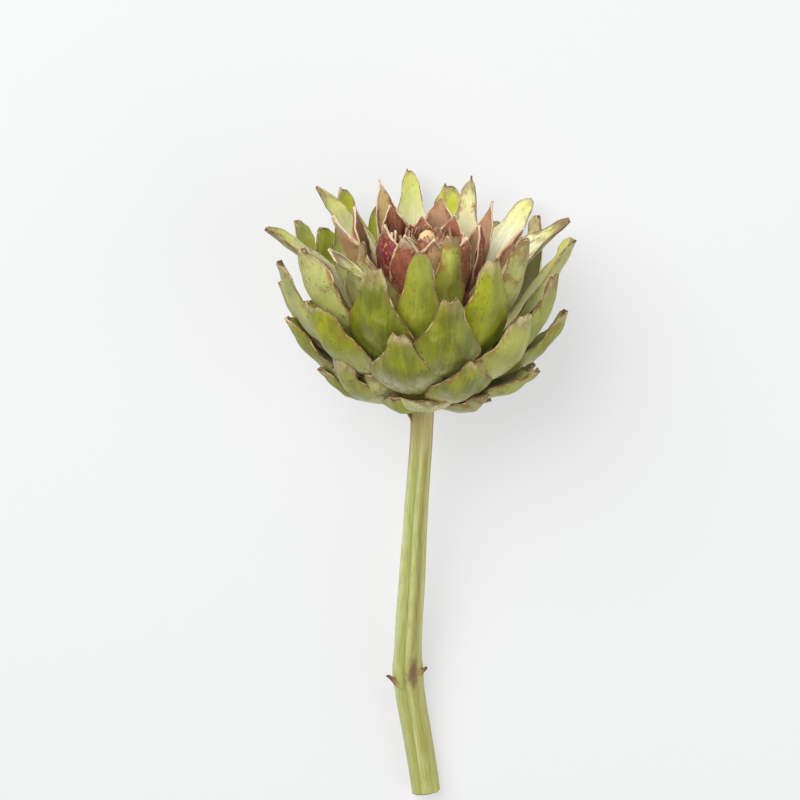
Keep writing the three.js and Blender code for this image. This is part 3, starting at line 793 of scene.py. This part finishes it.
stem = {
    "points": [(0.9, -0.5), (0.4, -20), (-1.7, -50), (-3.4, -86), (-5, -120), (-4.1, -134), (-0.9, -154),
               (2.1, -174), (2.9, -180)],  # x and y of its middle, from the head's foot
    "endHeight": 6,
    "radii": [(0, 4.8), (0.1, 4.6), (0.3, 5.2), (0.55, 5.7), (0.64, 5.9), (0.69, 6.6), (0.74, 6.2), (1, 6.1)],
    "ribs": 11, "ribDepth": 0.045, "lumps": 0.08, "rows": 260, "sides": 88, "endRings": 8,
    "headingStep": 0.002, "aboveSurface": 0.05,
    "bandsAndPaintedLight": [  # colours across it, seen from above, from the left side to the right: the stem's own bands with painted light, paler on the left where light falls and darker, painted shade, towards the right
        (0, tint(196, 200, 142)), (0.12, tint(160, 168, 84)), (0.24, tint(148, 158, 70)),
        (0.36, tint(128, 136, 56)), (0.48, tint(184, 190, 124)), (0.58, tint(178, 180, 106)),
        (0.7, tint(142, 138, 50)), (0.82, tint(130, 118, 44)), (0.92, tint(146, 138, 60)),
        (1, tint(174, 172, 100)),
    ],
    "tan": tint(178, 158, 96), "rust": tint(142, 96, 60), "wax": tint(216, 218, 172),
    "olive": tint(146, 144, 56), "brown": tint(96, 60, 42),
    "bruise": (0.3, 0.675, 0), "bruiseReach": (1.7, 22, 0),  # the brown patch: side and share, and how narrow
    "pith": tint(224, 224, 178), "fibre": tint(168, 170, 104),
    "veinSpacing": 0.5, "specks": 0.6, "speckSize": 0.6,
    "relief": (0.4, 0.0004), "roughness": 0.5, "cutRoughness": 0.6,
}


def stemMiddle():
    footX, footY, footZ = head["foot"]
    endY = stem["points"][-1][1]
    spots = []
    for x, y in stem["points"]:
        straight = footZ + y * math.tan(math.radians(head["rise"]))
        spots.append(Vector((footX + x, footY + y, mix(straight, stem["endHeight"], (y / endY) ** 3))))
    lengths = [0]
    for a, b in zip(spots, spots[1:]):
        lengths.append(lengths[-1] + (b - a).length)
    total = lengths[-1]
    lines = [[(length / total, spot[axis]) for length, spot in zip(lengths, spots)] for axis in range(3)]
    return total, lambda along: Vector([curveThrough(line, along) for line in lines])


def stemSkin():
    material, shader = newMaterial("stem skin")
    tree = material.node_tree
    sheet, share = readTrait(tree, "sheet"), readTrait(tree, "share")
    place = axes(tree, share)  # side, along, rib
    vein = useGroup(tree, veins, {"Sheet": sheet, "Spacing": stem["veinSpacing"]})
    speck = useGroup(tree, specks, {"Sheet": sheet, "Size": stem["speckSize"], "Amount": stem["specks"]})
    cloud = grain(tree, stretched(tree, sheet, 4.0, 34.0, 1.0), 1.0, 3.0)
    drift = times(tree, minus(tree, cloud, 0.5), 0.5)
    side = plus(tree, place[0], drift)
    # the colour follows the side as seen from above: painted light on the left, painted shade on the right
    bandsAndPaintedLight = tree.nodes.new("ShaderNodeValToRGB")
    tree.links.new(fade(tree, side, -1.0, 1.0), bandsAndPaintedLight.inputs[0])
    for spot, (where, color) in enumerate(stem["bandsAndPaintedLight"]):
        stop = bandsAndPaintedLight.color_ramp.elements[spot] if spot < 2 else bandsAndPaintedLight.color_ramp.elements.new(where)
        stop.position, stop.color = where, color
    patch = grain(tree, stretched(tree, sheet, 2.2, 9.0, 19.0), 1.0, 4.0, 0.6)
    edges = fade(tree, doMath(tree, "ABSOLUTE", place[0]), 0.8, 0.97)
    high = times(tree, fade(tree, place[1], 0.25, 0.1), edges)
    away = addNode(tree, "ShaderNodeVectorMath", {0: share, 1: stem["bruise"]}, operation="SUBTRACT")
    away = addNode(tree, "ShaderNodeVectorMath", {0: away.outputs[0], 1: stem["bruiseReach"]},
                   operation="MULTIPLY")
    far = addNode(tree, "ShaderNodeVectorMath", {0: away.outputs[0]}, operation="LENGTH").outputs["Value"]
    worn = plus(tree, far, times(tree, patch, 2.4))
    color = paint(tree, bandsAndPaintedLight.outputs[0], [
        (fade(tree, patch, 0.42, 0.66, 0.0, 0.45), stem["olive"]),
        (fade(tree, place[1], 0.5, 0.95, 0.0, 0.5), stem["olive"]),
        (fade(tree, place[1], 0.2, 0.02, 0.0, 0.8), stem["tan"]),
        (fade(tree, place[2], 0.3, 0.95, 0.0, 0.3), stem["wax"]),
        (times(tree, vein["Veins"], 0.2), stem["wax"]),
        (times(tree, high, 0.7), stem["rust"]),
        (fade(tree, worn, 2.3, 1.4, 0.0, 0.8), stem["brown"]),
        (times(tree, speck["Specks"], 0.6), stem["brown"]),
    ])
    tree.links.new(color, shader.inputs["Base Color"])
    relief = plus(tree, vein["Veins"], times(tree, vein["Strands"], 1.2))
    addRelief(tree, shader, relief, *stem["relief"])
    shader.inputs["Roughness"].default_value = stem["roughness"]
    return material


def cutSkin():
    material, shader = newMaterial("stem cut")
    tree = material.node_tree
    sheet, share = readTrait(tree, "sheet"), readTrait(tree, "share")
    ring = axes(tree, share)[0]
    cells = grain(tree, sheet, 3.0, 3.0)
    color = paint(tree, stem["pith"], [(fade(tree, ring, 0.45, 0.85), stem["fibre"]),
                                       (fade(tree, cells, 0.5, 0.75, 0.0, 0.5), stem["brown"])])
    tree.links.new(color, shader.inputs["Base Color"])
    shader.inputs["Roughness"].default_value = stem["cutRoughness"]
    return material


def stemPiece():
    total, middle = stemMiddle()
    rows, sides = stem["rows"], stem["sides"]
    points, sheet, share = [], [], []
    up, step = Vector((0, 0, 1)), stem["headingStep"]
    for row in range(rows + 1):
        along = row / rows
        at = middle(along)
        heading = (middle(min(along + step, 1)) - middle(max(along - step, 0))).normalized()
        right = heading.cross(up).normalized()
        over = right.cross(heading)
        radius = curveThrough(stem["radii"], along)
        for i in range(sides):
            angle = i / sides * 2 * math.pi
            around = Vector((math.cos(angle), math.sin(angle), along * 2.2))
            strength = 0.5 + 0.9 * noise.noise(around * 1.7 + Vector((0, 7, 0)))
            rib = math.cos(stem["ribs"] * angle + 1.2 * noise.noise(around * 1.3)) * strength
            lump = stem["lumps"] * noise.noise(around * 2.1 + Vector((4, 0, 0)))
            size = radius * (1 + stem["ribDepth"] * rib + lump)
            point = at - right * size * math.cos(angle) + over * size * math.sin(angle)
            point.z = max(point.z, stem["aboveSurface"])
            points.append(point * mm)
            sheet.append((angle * radius, along * total, 0))
            share.append((math.cos(angle), along, rib))
    faces = turnedOver(tubeFaces(rows, sides))
    kinds = [0] * len(faces)  # 0 for the skin, 1 for the cut
    for end, turned in ((0, False), (rows, True)):
        rim = list(range(end * sides, end * sides + sides))
        center = sum((points[i] for i in rim), Vector()) / sides
        for inward in range(1, stem["endRings"] + 1):
            shrink = 1 - inward / (stem["endRings"] + 1)
            ring = []
            for i in range(sides):
                ring.append(len(points))
                points.append(center + (points[end * sides + i] - center) * shrink)
                sheet.append(tuple(points[-1] / mm))
                share.append((shrink, 0, 0))
            for i in range(sides):
                loop = (rim[i], rim[(i + 1) % sides], ring[(i + 1) % sides], ring[i])
                faces.append(loop if not turned else tuple(reversed(loop)))
                kinds.append(1)
            rim = ring
        faces.append(tuple(rim) if not turned else tuple(reversed(rim)))
        kinds.append(1)
    traits = {"sheet": sheet, "share": share}
    makePiece("stem", points, faces, [stemSkin(), cutSkin()], traits, "stem", kinds)


stemPiece()

stubs = {  # dried leaf bases: place along the stem, angle round it, then their size in mm and degrees
    "places": [
        {"along": 0.06, "around": 165, "length": 7, "width": 5, "lean": 30},
        {"along": 0.7, "around": 25, "length": 6, "width": 6, "lean": 40},
        {"along": 0.72, "around": 150, "length": 8, "width": 7, "lean": 38},
    ],
    "depth": 1.5, "flatness": 0.45, "rows": 20, "sides": 28, "bend": 1.2, "ragged": 0.5,
    "skin": tint(176, 176, 106), "dry": tint(158, 130, 82), "dead": tint(112, 86, 62),
    "relief": (0.7, 0.0005), "roughness": 0.7,
}


def stubSkin():
    material, shader = newMaterial("dried leaf base")
    tree = material.node_tree
    sheet, share = readTrait(tree, "sheet"), readTrait(tree, "share")
    along = axes(tree, share)[1]
    strands = grain(tree, stretched(tree, sheet, 0.7, 5.0), 1.0, 4.0, 0.6)
    level = plus(tree, along, times(tree, minus(tree, strands, 0.5), 0.9))
    color = paint(tree, stubs["skin"], [(fade(tree, level, 0.1, 0.45), stubs["dry"]),
                                        (fade(tree, level, 0.5, 0.9), stubs["dead"])])
    tree.links.new(color, shader.inputs["Base Color"])
    addRelief(tree, shader, strands, *stubs["relief"])
    shader.inputs["Roughness"].default_value = stubs["roughness"]
    return material


def stubPiece(number, stub, material):
    total, middle = stemMiddle()
    along, angle, lean = stub["along"], math.radians(stub["around"]), math.radians(stub["lean"])
    step = stem["headingStep"]
    heading = (middle(along + step) - middle(along - step)).normalized()
    right = heading.cross(Vector((0, 0, 1))).normalized()
    outward = right.cross(heading) * math.sin(angle) - right * math.cos(angle)
    direction = outward * math.sin(lean) - heading * math.cos(lean)
    across = direction.cross(outward).normalized()
    flat = across.cross(direction)
    foot = middle(along) + outward * (curveThrough(stem["radii"], along) - stubs["depth"])
    rows, sides = stubs["rows"], stubs["sides"]
    points, sheet, share = [], [], []
    for row in range(rows + 1):
        rise = row / rows
        half = stub["width"] * mix(0.5, 0.2, rise) * (1 if row < rows else 0.5)
        for i in range(sides):
            turn = i / sides * 2 * math.pi
            rough = noise.noise(Vector((math.cos(turn) * 2, math.sin(turn) * 2, rise * 2.5 + number)))
            size = half * (1 + 0.3 * rough)
            reach = rise * stub["length"] + stubs["ragged"] * rough * rise * 2
            bend = stubs["bend"] * (rise ** 2 - rise)
            point = (foot + direction * reach + across * size * math.cos(turn)
                     + flat * (size * stubs["flatness"] * math.sin(turn) + bend))
            points.append(point * mm)
            sheet.append((turn * half, rise * stub["length"], number * 7.0))
            share.append((0, rise, 0))
    ends = [tuple(reversed(range(sides))), tuple(range(rows * sides, rows * sides + sides))]
    traits = {"sheet": sheet, "share": share}
    makePiece(f"leafStub{number}", points, tubeFaces(rows, sides) + ends, [material], traits, "stem")


driedBase = stubSkin()
for number, stub in enumerate(stubs["places"]):
    stubPiece(number, stub, driedBase)
print("stem and leaf bases placed")


studio = {
    "floorColor": tint(142, 144, 144), "floorGlow": 0.54, "floorSize": 6.0,
    "lights": {  # place, size, power
        "key": ((-0.62, 0.8, 1.25), 1.4, 31), "fill": ((0.95, -0.25, 0.55), 1.4, 7),
    },
    "lightsAim": (0, 0.05, 0.04), "skyStrength": 0.36,
    "distance": 0.92, "aboveCrown": 21.5,  # the view's angle above the head's cross plane
    "imageWidth": 0.32, "imageDistance": 0.9,
    "footShift": (0.0083, 0.0009),  # how far the head's foot is right of and above the middle
}


def makeFloor():
    size = studio["floorSize"] / 2
    mesh = bpy.data.meshes.new("floor")
    corners = [(-size, -size, 0), (size, -size, 0), (size, size, 0), (-size, size, 0)]
    mesh.from_pydata(corners, [], [(0, 1, 2, 3)])
    material, shader = newMaterial("floor")
    shader.inputs["Base Color"].default_value = studio["floorColor"]
    shader.inputs["Emission Color"].default_value = (1, 1, 1, 1)
    shader.inputs["Emission Strength"].default_value = studio["floorGlow"]
    shader.inputs["Roughness"].default_value = 0.9
    shader.inputs["Specular IOR Level"].default_value = 0.1
    mesh.materials.append(material)
    floor = newObject("floor", mesh)


def makeLight(name, place, size, power):
    lamp = bpy.data.lights.new(name, "AREA")
    lamp.shape = "DISK"
    lamp.size = size
    lamp.energy = power
    light = newObject(name, lamp)
    light.location = place
    light.rotation_euler = (Vector(studio["lightsAim"]) - Vector(place)).to_track_quat("-Z", "Y").to_euler()


def makeCamera():
    lean = math.radians(studio["aboveCrown"] - head["rise"])
    toCamera = Vector((0, math.sin(lean), math.cos(lean)))
    up = Vector((0, math.cos(lean), -math.sin(lean)))
    shiftX, shiftUp = studio["footShift"]
    target = Vector(head["foot"]) * mm - Vector((shiftX, 0, 0)) - up * shiftUp
    camera = newObject("camera", bpy.data.cameras.new("camera"))
    camera.data.angle = 2 * math.atan(studio["imageWidth"] / 2 / studio["imageDistance"])
    right = up.cross(toCamera)
    turn = Matrix((right, up, toCamera)).transposed().to_4x4()
    camera.matrix_world = Matrix.Translation(target + toCamera * studio["distance"]) @ turn
    bpy.context.scene.camera = camera


makeFloor()
for name, (place, size, power) in studio["lights"].items():
    makeLight(name, place, size, power)
makeCamera()
world = bpy.data.worlds.new("studio")
world.use_nodes = True
world.node_tree.nodes["Background"].inputs["Color"].default_value = (1, 1, 1, 1)
world.node_tree.nodes["Background"].inputs["Strength"].default_value = studio["skyStrength"]
bpy.context.scene.world = world
bpy.context.scene.view_settings.view_transform = "Standard"
print("studio lit")
